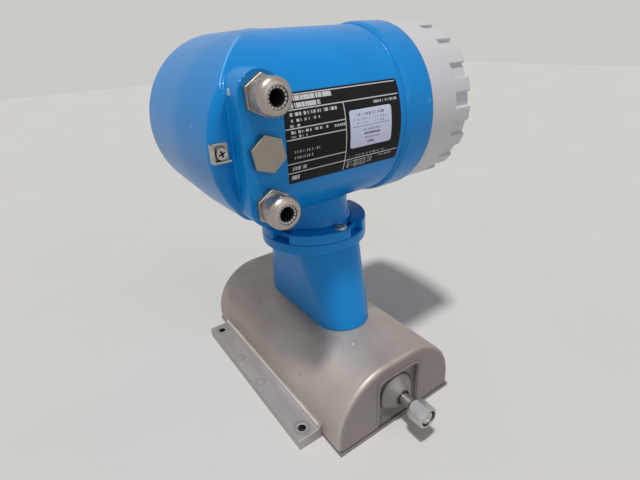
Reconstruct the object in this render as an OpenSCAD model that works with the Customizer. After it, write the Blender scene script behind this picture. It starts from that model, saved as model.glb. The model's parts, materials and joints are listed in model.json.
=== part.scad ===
// Coriolis flow meter: a small single-tube sensor in a drawn stainless shell,
// with a turnable transmitter head on a cast neck.
// X runs along the pipe, Y along the display barrel, Z is up; z = 0 is the floor.

/* [Sensor body] */
// Length of the shell along the pipe
body_len = 228; // [200:1:260]
// Width of the shell
body_w = 124; // [120:1:140]
// Height of the shell
body_h = 64; // [62:1:80]
// Radius of the two shoulders
shoulder_r = 50; // [36:1:52]
// Radius of the drawn edge at both ends
edge_r = 4.5; // [2.5:0.5:6]
// Thickness of the shell sheet
shell_wall = 2; // [1.5:0.5:3]
// Height of the pipe axis above the floor
pipe_z = 27.5; // [26:0.5:33]
// Depth of the pressed panel in each end
panel_depth = 5; // [3:0.5:6]

/* [Mounting bars] */
// Length of a bar
bar_len = 180; // [160:5:200]
// Width of a bar
bar_w = 22; // [20:1:28]
// Thickness of a bar
bar_t = 10; // [8:1:12]
// Diameter of a fixing hole
hole_d = 6.5; // [5.5:0.5:8]

/* [Process connection] */
// Reach of a connection face beyond the shell
connection_reach = 31; // [29:1:35]
// Width across flats of a union nut
nut_af = 16; // [16:0.5:18]
// Length of a union nut
nut_len = 17; // [16:0.5:20]
// Outside diameter of the measuring tube
tube_d = 3; // [2.5:0.5:4]
// Bore of the measuring tube
tube_bore = 1.4; // [1:0.2:1.8]

/* [Neck] */
// Half length of the foot of the neck
foot_half_len = 62.5; // [60:0.5:68]
// Half width of the foot of the neck
foot_half_w = 24; // [22:1:26]
// Half length of the top of the neck
neck_top_half_len = 41; // [39:1:42]
// Half width of the top of the neck
neck_top_half_w = 31; // [29:1:33]
// Height of the top face of the neck flange
flange_z = 143.6; // [140:0.2:150]
// Radius of the neck flange and of the bayonet ring
flange_r = 46.5; // [45:0.5:48]
// Thickness of the neck flange
flange_t = 9; // [8:0.5:10]
// Thickness of the bayonet ring
ring_t = 9; // [8:0.5:10]

/* [Transmitter head] */
// Height of the head axis
head_z = 235.4; // [232:0.2:240]
// Radius of the display barrel
barrel_r = 67; // [65:0.5:69]
// Start of the raised collar
collar_y = 42; // [40:1:46]
// Front face of the barrel
front_y = 70.5; // [68:0.5:74]
// Distance from the neck axis back to the axis of the connection drum
drum_back = 40.5; // [39:0.5:42]
// Distance from the neck axis back to the middle of the pad
pad_back = 77; // [76:0.5:78]
// Width of the gland pad
pad_w = 28.6; // [27:0.2:30]
// Distance between the two glands
gland_pitch = 66.6; // [64:0.2:68]
// Wall of the casting
head_wall = 5.5; // [5:0.5:6.5]

/* [Covers] */
// Length of the display cover
cover_len = 47.5; // [45:0.5:50]
// Length of the connection cover
rear_cover_len = 18.5; // [16:0.5:22]
// Number of grip notches in a cover
notches = 18; // [12:1:20]
// Depth of a grip notch
notch_depth = 3; // [2:0.5:3.5]

/* [Glands] */
// Width across flats of the glands and the plug
gland_af = 21; // [20:0.5:24]
// Diameter of the gland bores
gland_bore = 16; // [15:0.5:17]
// Diameter of the cable hole in a gland seal
cable_d = 9; // [6:0.5:9]

/* [Hidden] */
$fn = 64;

blue = "#1478c8";
steel = "#8a8580";
bright = "#b9b5ae";
brass = "#b3a797";
cover_grey = "#d7d4d6";
black = "#1a1a1c";
board_green = "#1d6b3c";
copper = "#b06a38";

eps = 0.01;
gap = 0.3;
glue = 0.1;
plate_t = 0.5;
plate_y0 = -60;
plate_y1 = 37.2;
plate_h = 57;

// Sensor body
base_t = 3;
plate_lip = 1;
half_len = body_len / 2;
half_w = body_w / 2;
hole_x = bar_len / 2 - 10;
hole_y = half_w + 13;
shoulder_y = half_w - shoulder_r;
shoulder_z = body_h - shoulder_r;
panel_w = 42;
panel_top = 50;
wire_hole_r = 14;

// End boss and connection
boss_base_r = 18;
boss_tip_r = 8.5;
boss_len = 10;
boss_x = half_len - panel_depth;
stub_r = 4.5;
face_x = half_len + connection_reach;
nut_back_x = face_x + 1 - nut_len;
nut_step_x = nut_back_x + 4;
shoulder_t = 3;
nose_r = 5;
thread_r = 6.9;
boss_bore_r = 6.3;
tube_r = tube_d / 2;
gland_root_x = half_len - 16;
gland_inner_x = gland_root_x - 6;

// Tube loop inside the shell
bend_r = 14;
leg_x = 44;
loop_y = half_w - 24;
block_x = half_len - 44;

// Coils beside the far leg of the loop
coil_gap_y = loop_y + 4;
coil_len = 6;
coil_x = 36;
bracket_y = coil_gap_y + coil_len;
bracket_t = 4;

// Neck
foot_z = body_h;
foot_r = foot_half_w;
foot_dip = 3;
neck_top_corner_r = 24;
neck_wall = 4.5;
neck_top_z = flange_z - flange_t;
floor_z = foot_z + 12;
adapter_t = 4;
adapter_tube_r = 17;
pedestal_screw_x = 23;
pedestal_open_r = 26;
pedestal_screw_y = 7;
m5_r = 2.5;
securing_head_r = 5.6;

// Bayonet joint
ring_top_z = flange_z + ring_t;
head_flange_t = 4.4;
head_lug_r = 36;
head_lug_span = 18;
ring_recess_r = head_lug_r + gap;
head_neck_r = 30.3;
head_foot_r = 33.5;
ring_lip_r = head_foot_r + gap;
ring_waist_r = 39.4;
ring_waist_t = 5.4;
lug_span = 68;
lug_first = -26;
screw_pcd_r = 40;
neck_bore_r = 9;
oring_r = 1.45;
oring_mid_r = 31.9;

// Head
barrel_draft = 0.006;
collar_r = barrel_r + 2;
barrel_bore_r = barrel_r - head_wall;
module_r = barrel_bore_r - 13.5;
thread_bore_r = barrel_r - 4.5;
drum_draft = 0.027;
back_fillet = 6;
flat_x = barrel_r - 10;
pad_x = barrel_r + 4;
drum_y = -drum_back;
drum_rim = barrel_r + 0.5;
drum_rim_r = barrel_r - drum_draft * drum_rim;
partition_y0 = -16;
partition_y1 = -11;
drum_bore_r = drum_rim_r - head_wall;
drum_thread_r = drum_rim_r - 4.2;
drum_thread_len = 14;
pad_y = -pad_back;
gland_dz = gland_pitch / 2;
gland_wall_x = flat_x - 7;

// Covers
cover_r = barrel_r;
rear_cover_r = barrel_r - 9;
cover_front_y = front_y + cover_len;
cover_wall = 4;
cover_thread_len = 10;
notch_len = 18;
notch_span = 360 / notches * 0.49;
window_r = 38;
glass_r = 42;
glass_t = 6;

// Glands
gland_corner_r = gland_af / 2 / cos(30);
gland_body_r = gland_af / 2 - 0.8;
gland_thread_r = gland_af / 2 - 2.2;
cap_corner_r = gland_corner_r - 0.8;
gland_hex_t = 4.5;
gland_neck_len = 5.2;
gland_cap_len = 10;
seal_r = 6.2;

// A hexagonal prism along X with one corner up
module hex_x(corner_r, len) {
    rotate([0, 90, 0]) cylinder(r = corner_r, h = len, $fn = 6);
}

// A round bar along X
module rod_x(r, len) {
    rotate([0, 90, 0]) cylinder(r = r, h = len);
}

// A round bar along +Y
module rod_y(r, len) {
    rotate([-90, 0, 0]) cylinder(r = r, h = len);
}

// An O-ring about Z
module o_ring(mid_r, sec_r) {
    rotate_extrude() translate([mid_r, 0]) circle(r = sec_r, $fn = 24);
}

// An obround outline with its long side along X
module obround(half_l, r) {
    translate([-(half_l - r), -r]) square([2 * (half_l - r), 2 * r]);
    for (side = [-1, 1]) translate([side * (half_l - r), 0]) circle(r = r);
}

// ---------------------------------------------------------------- sensor

// A rectangle from x = 0 whose two far corners are round
module rounded_end(len, half_h, r) {
    translate([0, -half_h]) square([len - r, 2 * half_h]);
    translate([0, -half_h + r]) square([len, 2 * (half_h - r)]);
    for (side = [-1, 1]) translate([len - r, side * (half_h - r)]) circle(r = r);
}

// The form of the shell, shrunk by inset: two shoulders, the roof between them and the sides
module loaf(inset, z_low) {
    r = edge_r - inset;
    end_x = half_len - inset;
    translate([0, 0, shoulder_z]) for (side = [0, 1]) mirror([0, side, 0])
        translate([0, shoulder_y, 0]) rotate([90, 0, 90])
            rotate_extrude(angle = 90, $fn = 128) rounded_end(shoulder_r - inset, end_x, r);
    translate([0, 0, shoulder_z]) rotate([0, -90, 90])
        linear_extrude(2 * shoulder_y, center = true) rounded_end(shoulder_r - inset, end_x, r);
    translate([0, 0, z_low]) linear_extrude(shoulder_z - z_low)
        rounded_rect(2 * end_x, body_w - 2 * inset, r);
}

module panel_block(depth, grow) {
    for (side = [0, 1]) mirror([side, 0, 0])
        translate([half_len - depth, 0, 0]) rotate([90, 0, 90])
            linear_extrude(depth + 1) panel_outline(grow);
}

// The arched outline of the pressed end panel
module panel_outline(grow) {
    r = 5;
    half = panel_w / 2 + grow;
    translate([-half, 0]) square([2 * half, panel_top + grow - r]);
    translate([-half + r, 0]) square([2 * (half - r), panel_top + grow]);
    for (side = [-1, 1]) translate([side * (half - r), panel_top + grow - r]) circle(r = r);
}

module sensor_shell() {
    color(steel) difference() {
        union() {
            difference() {
                loaf(0, base_t);
                loaf(shell_wall, 0);
            }
            intersection() {
                loaf(0, base_t);
                panel_block(panel_depth + shell_wall, shell_wall);
            }
        }
        panel_block(panel_depth, 0);
        translate([0, 0, body_h - 20]) cylinder(r = adapter_tube_r, h = 22);
        translate([-half_len - 1, 0, pipe_z]) rod_x(stub_r, body_len + 2);
    }
}

module base_plate() {
    color(steel) translate([-half_len - plate_lip, -half_w, 0])
        cube([body_len + 2 * plate_lip, body_w, base_t]);
}

module mounting_bar(side) {
    weld = 4;
    color(steel) difference() {
        translate([-bar_len / 2, 0, 0]) rotate([90, 0, 90]) linear_extrude(bar_len)
            polygon([
                [side * half_w, 0], [side * (half_w + bar_w), 0],
                [side * (half_w + bar_w), bar_t], [side * (half_w + weld), bar_t],
                [side * half_w, bar_t + weld]
            ]);
        for (sx = [-1, 1]) translate([sx * hole_x, side * hole_y, -1])
            cylinder(d = hole_d, h = bar_t + 2);
    }
}

module mounting_bar_left() {
    mounting_bar(-1);
}

module mounting_bar_right() {
    mounting_bar(1);
}

// The coned boss that guides the stub out of the end panel
module end_boss() {
    color(steel) translate([boss_x, 0, pipe_z]) rotate([0, 90, 0]) difference() {
        rotate_extrude() polygon([
            [stub_r, 0], [boss_base_r, 0], [boss_base_r - 1, 2.5],
            [boss_tip_r + 1, boss_len - 1], [boss_tip_r, boss_len], [stub_r, boss_len]
        ]);
        translate([0, 0, boss_len - 3]) cylinder(r = boss_bore_r, h = 4);
    }
}

module end_boss_inlet() {
    mirror([1, 0, 0]) end_boss();
}

module end_boss_outlet() {
    end_boss();
}

// One quarter bend of the tube in the XY plane
module bend(r, start) {
    rotate([0, 0, start]) rotate_extrude(angle = 90) translate([bend_r, 0]) circle(r = r);
}

// The path of the tube as a solid of radius r: two straight ends and a square loop
module tube_path(r) {
    inner_x = leg_x + bend_r;
    for (side = [0, 1]) mirror([side, 0, 0]) {
        translate([inner_x, 0, 0]) rod_x(r, gland_root_x - inner_x);
        translate([inner_x, bend_r, 0]) bend(r, 180);
        translate([leg_x, bend_r, 0]) rod_y(r, loop_y - 2 * bend_r);
        translate([leg_x - bend_r, loop_y - bend_r, 0]) bend(r, 0);
    }
    translate([-(leg_x - bend_r), loop_y, 0]) rod_x(r, 2 * (leg_x - bend_r));
}

module measuring_tube() {
    color(bright) translate([0, 0, pipe_z]) difference() {
        tube_path(tube_r);
        tube_path(tube_bore / 2);
    }
}

// A block brazed round the tube that ties it to the base plate
module tube_block() {
    color(steel) difference() {
        translate([block_x - 7, -13, base_t]) cube([14, 26, pipe_z + 8 - base_t]);
        translate([block_x - 8, 0, pipe_z]) rod_x(tube_r, 16);
    }
}

module tube_block_inlet() {
    mirror([1, 0, 0]) tube_block();
}

module tube_block_outlet() {
    tube_block();
}

module coil_bracket() {
    half = coil_x + 12;
    color(steel) {
        translate([-half, bracket_y, base_t]) cube([2 * half, bracket_t, pipe_z + 9 - base_t]);
        translate([-half, bracket_y - 10, base_t]) cube([2 * half, 10, 2]);
    }
}

// A wound coil on a bobbin, its axis along Y
module coil(x) {
    color(copper) translate([x, coil_gap_y, pipe_z]) difference() {
        rod_y(7, coil_len);
        translate([0, -1, 0]) rod_y(4, coil_len + 2);
    }
}

module drive_coil() {
    coil(0);
}

module pickup_coil_inlet() {
    coil(-coil_x + 12);
}

module pickup_coil_outlet() {
    coil(coil_x - 12);
}

// A magnet on a clip round the tube, reaching into its coil
module magnet(x) {
    color(bright) translate([x, loop_y, pipe_z]) difference() {
        union() {
            translate([-2.5, 0, 0]) rod_x(tube_r + 1, 5);
            translate([0, 1, 0]) rod_y(3, coil_len + 1);
        }
        translate([-4, 0, 0]) rod_x(tube_r, 8);
    }
}

module drive_magnet() {
    magnet(0);
}

module pickup_magnet_inlet() {
    magnet(-coil_x + 12);
}

module pickup_magnet_outlet() {
    magnet(coil_x - 12);
}

// A resistance sensor in a sleeve clipped on the inlet end of the tube
module temperature_sensor() {
    color(bright) translate([-gland_inner_x + gap, 0, pipe_z]) difference() {
        rod_x(tube_r + 1.6, 10);
        translate([-1, 0, 0]) rod_x(tube_r, 12);
    }
}

// The stub, collar and sealing nose that the union nut pulls on
module connection_gland() {
    nose_x = nut_step_x + shoulder_t;
    color(bright) translate([0, 0, pipe_z]) difference() {
        union() {
            translate([gland_inner_x, 0, 0]) rod_x(stub_r, nut_step_x - gland_inner_x);
            translate([nut_step_x + 0.1, 0, 0]) rod_x(thread_r - 0.4, shoulder_t);
            translate([nut_step_x - 1, 0, 0]) rod_x(stub_r, 2);
            translate([nose_x, 0, 0]) rod_x(nose_r, face_x - nose_x);
        }
        translate([gland_inner_x - 1, 0, 0]) rod_x(tube_r, 7);
        translate([gland_root_x - 1, 0, 0]) rod_x(tube_bore / 2, face_x);
    }
}

module connection_gland_inlet() {
    mirror([1, 0, 0]) connection_gland();
}

module connection_gland_outlet() {
    connection_gland();
}

// A union nut: chamfered collar, hexagon and the threaded mouth
module union_nut() {
    corner_r = nut_af / 2 / cos(30);
    color(bright) translate([nut_back_x, 0, pipe_z]) difference() {
        intersection() {
            hex_x(corner_r, nut_len);
            rotate([0, 90, 0]) rotate_extrude() polygon([
                [0, 0], [nut_af / 2 - 1.2, 0], [nut_af / 2 - 0.4, 1], [nut_af / 2, 2.2],
                [corner_r, 3.8], [corner_r, nut_len - 0.7],
                [corner_r - 0.8, nut_len], [0, nut_len]
            ]);
        }
        translate([-1, 0, 0]) rod_x(stub_r + gap, nut_len);
        translate([nut_step_x - nut_back_x, 0, 0]) rod_x(thread_r, nut_len);
    }
}

module union_nut_inlet() {
    mirror([1, 0, 0]) union_nut();
}

module union_nut_outlet() {
    union_nut();
}

// ---------------------------------------------------------------- neck

module adapter_outline() {
    obround(foot_half_len - 10, foot_r - 12);
}

// The plate and collar welded on the shell, which carry the pedestal
module neck_adapter() {
    color(steel) translate([0, 0, foot_z]) difference() {
        union() {
            linear_extrude(adapter_t) adapter_outline();
            translate([0, 0, -shell_wall]) cylinder(r = adapter_tube_r, h = 18);
        }
        translate([0, 0, -shell_wall - 1]) cylinder(r = wire_hole_r, h = 20);
        for (sx = [-1, 1], sy = [-1, 1])
            translate([sx * pedestal_screw_x, sy * pedestal_screw_y, -1]) cylinder(r = m5_r, h = 8);
    }
}

// The cast neck form: an obround foot that turns into a rounder top
module neck_form(inset) {
    hull() {
        translate([0, 0, foot_z - foot_dip]) linear_extrude(4)
            obround(foot_half_len - inset, foot_r - inset);
        translate([0, 0, neck_top_z]) linear_extrude(1) rounded_rect(
            2 * (neck_top_half_len - inset), 2 * (neck_top_half_w - inset), neck_top_corner_r - inset);
    }
}

module neck_pedestal() {
    color(blue) difference() {
        union() {
            neck_form(0);
            translate([0, 0, neck_top_z]) cylinder(r = flange_r, h = flange_t);
        }
        difference() {
            neck_form(neck_wall);
            translate([0, 0, floor_z - 20]) cube([200, 100, 40], center = true);
        }
        translate([0, 0, neck_top_z - 1]) cylinder(r = pedestal_open_r, h = flange_t + 2);
        translate([0, 0, foot_z - 1]) linear_extrude(adapter_t + 1)
            obround(foot_half_len - 9.8, foot_r - 11.8);
        translate([0, 0, foot_z - foot_dip - 1]) cylinder(r = adapter_tube_r + 0.2, h = 24);
        loaf(0, base_t);
        for (sx = [-1, 1], sy = [-1, 1])
            translate([sx * pedestal_screw_x, sy * pedestal_screw_y, foot_z])
                cylinder(r = m5_r + 0.2, h = 20);
        for (sx = [-1, 1]) translate([sx * screw_pcd_r, 0, flange_z - 8]) cylinder(r = m5_r, h = 10);
        translate([0, 0, flange_z]) rotate_extrude()
            translate([oring_mid_r - oring_r - 0.05, -2 * oring_r]) square([2 * oring_r + 0.1, 4]);
    }
}

// A socket screw pointing down, its head on z = 0
module socket_screw(shank_len, head_r, head_h, key_r) {
    difference() {
        union() {
            translate([0, 0, -shank_len]) cylinder(r = m5_r, h = shank_len + eps);
            cylinder(r = head_r, h = head_h);
        }
        translate([0, 0, head_h - 2]) cylinder(r = key_r, h = 3, $fn = 6);
    }
}

module pedestal_screws() {
    color(bright) for (sx = [-1, 1], sy = [-1, 1])
        translate([sx * pedestal_screw_x, sy * pedestal_screw_y, floor_z])
            socket_screw(floor_z - foot_z, 4.2, 5, 2.3);
}

module neck_seal() {
    color(black) translate([0, 0, flange_z - oring_r]) o_ring(oring_mid_r, oring_r);
}

// A ring sector between two radii
module sector(r_in, r_out, from, span, h) {
    rotate([0, 0, from]) rotate_extrude(angle = span) translate([r_in, 0]) square([r_out - r_in, h]);
}

// The ring with four lugs that locks the head on the neck flange
module bayonet_ring() {
    color(blue) translate([0, 0, flange_z]) difference() {
        union() {
            sector(ring_recess_r, ring_waist_r, 0, 360, ring_waist_t);
            for (i = [0:3])
                sector(ring_lip_r, flange_r, lug_first - lug_span / 2 + 90 * i, lug_span, ring_t);
        }
        translate([0, 0, -1]) cylinder(r = ring_recess_r, h = head_flange_t + gap + 1);
        for (sx = [-1, 1]) translate([sx * screw_pcd_r, 0, -1]) cylinder(r = m5_r + 0.2, h = ring_t + 2);
    }
}

// The two button-head screws that lock the bayonet ring
module securing_screws() {
    color(bright) for (sx = [-1, 1]) translate([sx * screw_pcd_r, 0, ring_top_z]) {
        difference() {
            union() {
                translate([0, 0, -ring_t - 7]) cylinder(r = m5_r, h = ring_t + 7 + eps);
                intersection() {
                    cylinder(r = securing_head_r, h = 3.2);
                    translate([0, 0, -3.8]) sphere(r = 7.1);
                }
            }
            translate([0, 0, 1]) cylinder(r = 2.3, h = 3, $fn = 6);
        }
    }
}

// ---------------------------------------------------------------- head

// A cylinder about the head axis, between two places along Y
module barrel(r, y0, y1) {
    translate([0, y0, head_z]) rod_y(r, y1 - y0);
}

// The drafted barrel, shrunk by inset; barrel_r is its radius at the collar
module drafted_barrel(inset, y0, y1) {
    r0 = barrel_r - inset - barrel_draft * (collar_y - y0);
    r1 = barrel_r - inset - barrel_draft * (collar_y - y1);
    translate([0, y0, head_z]) rotate([-90, 0, 0]) cylinder(r1 = r0, r2 = r1, h = y1 - y0);
}

// A cylinder about the drum axis, between two places along X
module drum(r, x0, x1) {
    translate([x0, drum_y, head_z]) rod_x(r, x1 - x0);
}

// The drafted half of the drum from the parting plane x = 0 to x1, its far edge rounded
module drum_half(inset, x1, edge) {
    r = barrel_r - inset;
    r_edge = r - drum_draft * (x1 - edge);
    translate([0, drum_y, head_z]) rotate([0, 90, 0]) rotate_extrude() {
        polygon([[0, 0], [r, 0], [r_edge, x1 - edge], [0, x1 - edge]]);
        square([r_edge - edge, x1]);
        translate([r_edge - edge, x1 - edge]) circle(r = edge);
    }
}

// The mitred form of the barrel and the drum, shrunk by inset; behind the front of the pad
// the side with the pad stops at x_flat
module elbow(inset, x_flat, y_front) {
    side = barrel_r - inset + 1;
    drafted_barrel(inset, drum_y, y_front);
    mirror([1, 0, 0]) drum_half(inset, drum_rim, 0.5);
    intersection() {
        drafted_barrel(inset, pad_y, drum_y + 1);
        drum_half(inset, side, 0.5);
    }
    intersection() {
        drafted_barrel(inset, drum_y - barrel_r - 1, pad_y + 1);
        drum_half(inset, x_flat, back_fillet);
    }
}

// The upright pad that carries the glands and the plug
module gland_pad() {
    len = gland_pitch + pad_w;
    translate([gland_wall_x, pad_y, head_z]) rotate([0, 90, 0])
        linear_extrude(pad_x - gland_wall_x) obround(len / 2, pad_w / 2);
}

// The turned foot of the casting with its four locking lugs
module head_neck() {
    translate([0, 0, flange_z]) {
        rotate_extrude() polygon([
            [0, 0], [head_foot_r, 0], [head_foot_r, 10], [head_foot_r - 1.4, 12.5], [head_neck_r + 1, 16],
            [head_neck_r + 0.2, 20], [head_neck_r, 23], [head_neck_r, 27], [head_neck_r + 1.2, 31],
            [head_neck_r + 3.6, 35.5], [head_neck_r + 7, 39], [head_neck_r + 7, 45], [0, 45]
        ]);
        for (i = [0:3])
            sector(head_neck_r, head_lug_r, lug_first - head_lug_span / 2 + 90 * i, head_lug_span,
                head_flange_t);
    }
}

// The raised collar with its rounded step and bead
module collar() {
    translate([0, 0, head_z]) rotate([-90, 0, 0]) rotate_extrude() polygon([
        [barrel_r - 3, collar_y - 0.5], [barrel_r + 0.6, collar_y], [barrel_r + 0.9, collar_y + 1],
        [barrel_r + 0.4, collar_y + 2], [collar_r - 0.6, collar_y + 4], [collar_r, collar_y + 5.5],
        [collar_r, front_y - 0.6], [collar_r - 0.6, front_y], [barrel_r - 3, front_y]
    ]);
}

// The chamber that holds the electronics
module electronics_chamber() {
    difference() {
        barrel(barrel_bore_r, partition_y1, front_y + 1);
        drum(drum_thread_r + 3, -barrel_r - 5, -drum_rim + drum_thread_len + 4);
    }
    barrel(thread_bore_r, front_y - cover_thread_len - 2, front_y + 1);
}

// The chamber behind the partition that holds the terminals
module connection_chamber() {
    intersection() {
        elbow(head_wall, gland_wall_x, 0);
        translate([-100, -200, head_z - 80]) cube([100 + gland_wall_x, 200 + partition_y0, 160]);
    }
    drum(drum_bore_r, -drum_rim - 1, -30);
    drum(drum_thread_r, -drum_rim - 1, -drum_rim + drum_thread_len);
}

module head_housing() {
    color(blue) difference() {
        union() {
            elbow(0, flat_x, front_y);
            gland_pad();
            collar();
            head_neck();
        }
        electronics_chamber();
        connection_chamber();
        translate([0, 0, flange_z - 1]) cylinder(r = neck_bore_r, h = head_z - flange_z);
        for (k = [-1:1])
            translate([gland_wall_x - 8, pad_y, head_z + k * gland_dz]) rod_x(gland_bore / 2, 40);
        at_terminal() translate([-6, 0, 0]) rod_x(2, 10);
    }
}

// The grip notches of a cover whose axis is Z and whose far face is at z = len
module grip_notches(r, len, notch_l, depth, first) {
    for (i = [0:notches - 1])
        translate([0, 0, len - notch_l])
            sector(r - depth, r + 2, first + 360 / notches * i - notch_span / 2, notch_span, notch_l + 1);
}

// The screwed cover with the display window
module display_cover() {
    color(cover_grey) translate([0, front_y, head_z]) rotate([-90, 0, 0]) difference() {
        union() {
            translate([0, 0, -cover_thread_len]) cylinder(r = thread_bore_r - gap, h = cover_thread_len + 1);
            translate([0, 0, 0.2]) cylinder(r = cover_r, h = cover_len - 1.2);
            translate([0, 0, cover_len - 1]) cylinder(r1 = cover_r, r2 = cover_r - 1, h = 1);
        }
        translate([0, 0, -cover_thread_len - 1])
            cylinder(r = thread_bore_r - gap - cover_wall, h = cover_len + cover_thread_len - 8);
        cylinder(r = window_r, h = cover_len + 1);
        translate([0, 0, cover_len - 9]) cylinder(r = glass_r, h = glass_t);
        translate([0, 0, cover_len - 3.01]) cylinder(r1 = window_r, r2 = window_r + 4, h = 3.02);
        grip_notches(cover_r, cover_len, notch_len, notch_depth, -7);
        translate([0, 0, -1.4]) rotate_extrude()
            translate([thread_bore_r - gap - 1.5, 0]) square([2, 1.6]);
    }
}

module window_glass() {
    color("#9fb4b8", 0.5) translate([0, cover_front_y - 9, head_z]) rod_y(glass_r, glass_t);
}

module window_clamp_ring() {
    color(black) translate([0, cover_front_y - 13, head_z]) difference() {
        rod_y(glass_r + 6, 4);
        translate([0, -1, 0]) rod_y(window_r, 6);
    }
}

module display_cover_seal() {
    color(black) translate([0, front_y - 0.6, head_z]) rotate([-90, 0, 0])
        o_ring(thread_bore_r - gap - 0.8, 0.6);
}

module display_module() {
    color(black) difference() {
        barrel(module_r, cover_front_y - 30, cover_front_y - 20);
        translate([-32, cover_front_y - 24, head_z - 8]) cube([64, 5, 34]);
        for (i = [-1:1]) translate([i * 16, cover_front_y - 22, head_z - 22]) rod_y(4, 3);
    }
}

module display_screen() {
    color("#8fa39a") translate([-32, cover_front_y - 24, head_z - 8]) cube([64, 2, 34]);
}

// The frame of two plates and four posts that carries the boards
module electronics_cage() {
    back_y = partition_y1;
    front_plate_y = cover_front_y - 32;
    color("#9da0a3") {
        difference() {
            barrel(module_r - 2, back_y, back_y + 2);
            barrel(neck_bore_r, back_y - 1, back_y + 3);
        }
        difference() {
            barrel(module_r, front_plate_y, front_plate_y + 2);
            barrel(12, front_plate_y - 1, front_plate_y + 3);
        }
        for (sx = [-1, 1], sz = [-1, 1])
            translate([sx * 32, back_y + 1, head_z + sz * 30]) rod_y(3, front_plate_y - back_y);
    }
}

// A circuit board between the two plates with a few blocks on it
module board(x) {
    y0 = partition_y1 + 2;
    len = cover_front_y - 34 - partition_y1;
    color(board_green) translate([x, y0, head_z - 30]) {
        cube([1.6, len, 60]);
        translate([1.6, 8, 10]) cube([6, 18, 14]);
        translate([1.6, 40, 28]) cube([4, 22, 20]);
    }
}

module amplifier_board() {
    board(-20);
}

module io_board() {
    board(-2);
}

module power_board() {
    board(16);
}

// The terminal strip on the partition wall
module terminal_block() {
    color("#3b6b4a") difference() {
        translate([-30, partition_y0 - 14, head_z - 16]) cube([50, 14, 32]);
        for (i = [0:5], sz = [-1, 1])
            translate([-26 + 8 * i, partition_y0 - 15, head_z + sz * 9]) rod_y(2.2, 8);
    }
}

module terminal_screws() {
    color(bright) for (i = [0:5], sz = [-1, 1])
        translate([-26 + 8 * i, partition_y0 - 13, head_z + sz * 9]) rod_y(2.2, 6);
}

// The blind screwed cover of the connection chamber
module connection_cover() {
    color(cover_grey) translate([-drum_rim, drum_y, head_z]) rotate([0, -90, 0]) difference() {
        union() {
            translate([0, 0, -cover_thread_len]) cylinder(r = drum_thread_r - gap, h = cover_thread_len);
            translate([0, 0, 0.2]) cylinder(r = drum_thread_r + 2, h = 3);
            cylinder(r = rear_cover_r, h = rear_cover_len - 1);
            translate([0, 0, rear_cover_len - 1]) cylinder(r1 = rear_cover_r, r2 = rear_cover_r - 1, h = 1);
        }
        translate([0, 0, -cover_thread_len - 1])
            cylinder(r = rear_cover_r - cover_wall, h = rear_cover_len + cover_thread_len - 4);
        grip_notches(rear_cover_r, rear_cover_len, 13, 2.5, 0);
        translate([0, 0, -1.4]) rotate_extrude()
            translate([drum_thread_r - gap - 1.5, 0]) square([2, 1.6]);
    }
}

module connection_cover_seal() {
    color(black) translate([-drum_rim + 0.6, drum_y, head_z]) rotate([0, -90, 0])
        o_ring(drum_thread_r - gap - 0.8, 0.6);
}

// ---------------------------------------------------------------- glands

// Places a gland part on the pad: 1 is the upper gland, -1 the lower
module at_gland(k) {
    translate([pad_x, pad_y, head_z + k * gland_dz]) children();
}

module gland_body() {
    color(brass) difference() {
        union() {
            translate([-16, 0, 0]) rod_x(gland_bore / 2, 17);
            rotate([2, 0, 0]) hex_x(gland_corner_r, gland_hex_t);
            rod_x(gland_body_r - 0.5, gland_hex_t + 1);
            translate([gland_hex_t + 0.6, 0, 0]) rod_x(gland_body_r, gland_neck_len - 0.6);
            rod_x(gland_thread_r, gland_hex_t + gland_neck_len + 4);
        }
        translate([-17, 0, 0]) rod_x(cable_d / 2 + 1, 40);
        translate([gland_hex_t, 0, 0]) rod_x(seal_r, 20);
    }
}

module gland_body_upper() {
    at_gland(1) gland_body();
}

module gland_body_lower() {
    at_gland(-1) gland_body();
}

// The rubber sleeve round the cable, inside the fingers, its tail in the bore of the body
module gland_seal() {
    tail = 1;
    color(black) translate([gland_hex_t - tail, 0, 0]) difference() {
        rod_x(seal_r - 1.2, tail + gland_neck_len + gland_cap_len - 1.2);
        translate([-1, 0, 0]) rod_x(cable_d / 2, 30);
    }
}

module gland_seal_upper() {
    at_gland(1) gland_seal();
}

module gland_seal_lower() {
    at_gland(-1) gland_seal();
}

// The ring of clamping fingers round the seal
module gland_claw() {
    fingers = 16;
    color(cover_grey) translate([gland_hex_t, 0, 0]) difference() {
        rod_x(seal_r, gland_neck_len + gland_cap_len - 0.8);
        translate([-1, 0, 0]) rod_x(seal_r - 1.2, 30);
        for (i = [0:fingers - 1]) rotate([360 / fingers * i, 0, 0])
            translate([gland_neck_len + 3, -0.3, 0]) cube([20, 0.6, seal_r + 1]);
    }
}

module gland_claw_upper() {
    at_gland(1) gland_claw();
}

module gland_claw_lower() {
    at_gland(-1) gland_claw();
}

// The domed nut that squeezes the seal: a low hexagon at the back, a full round rim in front
module gland_cap() {
    start = gland_hex_t + gland_neck_len + 0.2;
    rim_r = 4.4;
    rim_mid_r = gland_body_r + 1.1 - rim_r;
    color(brass) translate([start, 0, 0]) difference() {
        union() {
            intersection() {
                rotate([8, 0, 0]) hex_x(cap_corner_r, 6);
                rotate([0, 90, 0]) cylinder(r1 = cap_corner_r - 0.6, r2 = gland_body_r + 1.4, h = 6);
            }
            translate([gland_cap_len - rim_r, 0, 0]) rotate([0, 90, 0]) rotate_extrude()
                translate([rim_mid_r, 0]) circle(r = rim_r);
            rod_x(rim_mid_r, gland_cap_len);
        }
        translate([-1, 0, 0]) rod_x(seal_r + 0.2, gland_cap_len + 2);
        translate([-1, 0, 0]) rod_x(gland_thread_r + 0.2, 5.2);
    }
}

module gland_cap_upper() {
    at_gland(1) gland_cap();
}

module gland_cap_lower() {
    at_gland(-1) gland_cap();
}

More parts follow.
